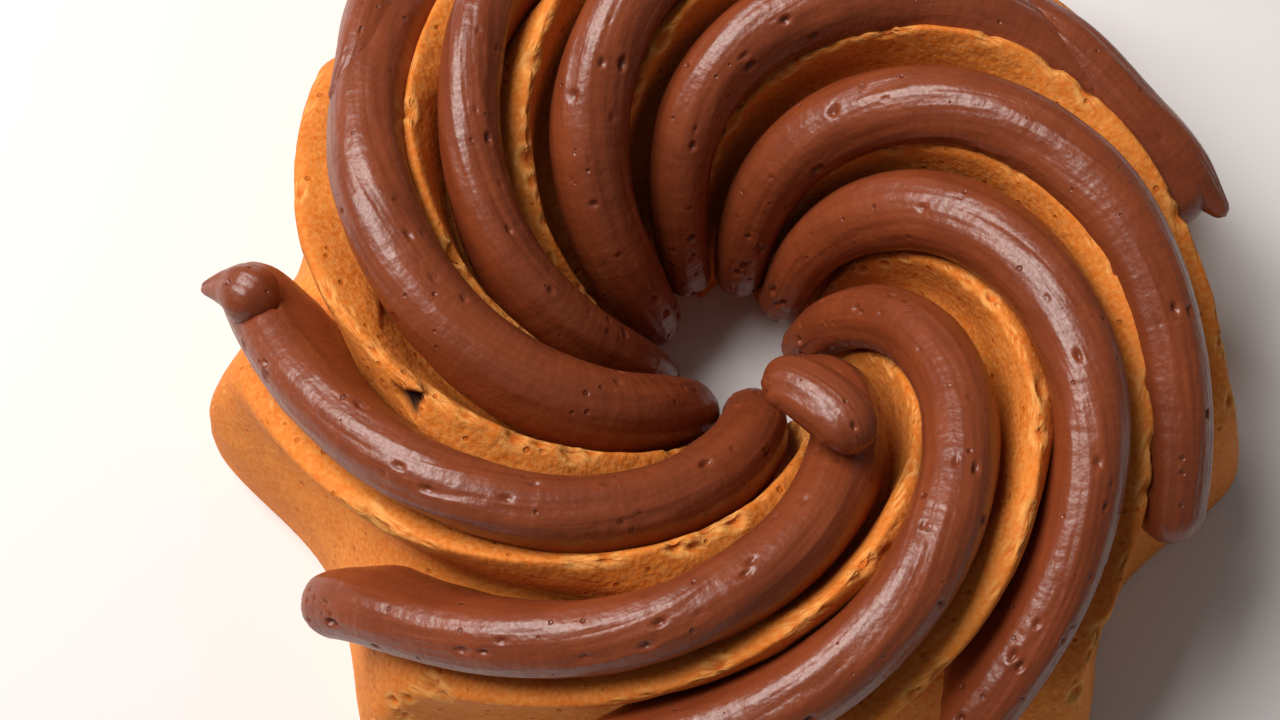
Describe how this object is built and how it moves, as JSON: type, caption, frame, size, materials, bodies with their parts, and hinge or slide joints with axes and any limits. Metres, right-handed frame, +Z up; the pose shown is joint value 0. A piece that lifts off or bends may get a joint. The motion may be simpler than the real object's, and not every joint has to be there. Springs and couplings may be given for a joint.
{
  "type": "ring cake",
  "caption": "Ring-shaped cake with tall swirled folds, an open centre hole and a thick rope of chocolate frosting laid in each groove.",
  "frame": {"origin": "middle of the whole object's box, on the flat underside", "axes": "+Z up, the cake stands on its flat underside; -Y is the side nearest the viewer of the picture"},
  "size_m": [0.2392, 0.2398, 0.0855],
  "materials": {
    "crust": "fine-grained golden-brown baked crust, dull",
    "frosting": "smooth milk-chocolate frosting with a soft satin sheen"
  },
  "bodies": {
    "root": {"cake": "crust", "frosting_rope_1": "frosting", "frosting_rope_2": "frosting", "frosting_rope_3": "frosting", "frosting_rope_4": "frosting", "frosting_rope_5": "frosting", "frosting_rope_6": "frosting", "frosting_rope_7": "frosting", "frosting_rope_8": "frosting", "frosting_rope_9": "frosting"}
  },
  "joints": []
}
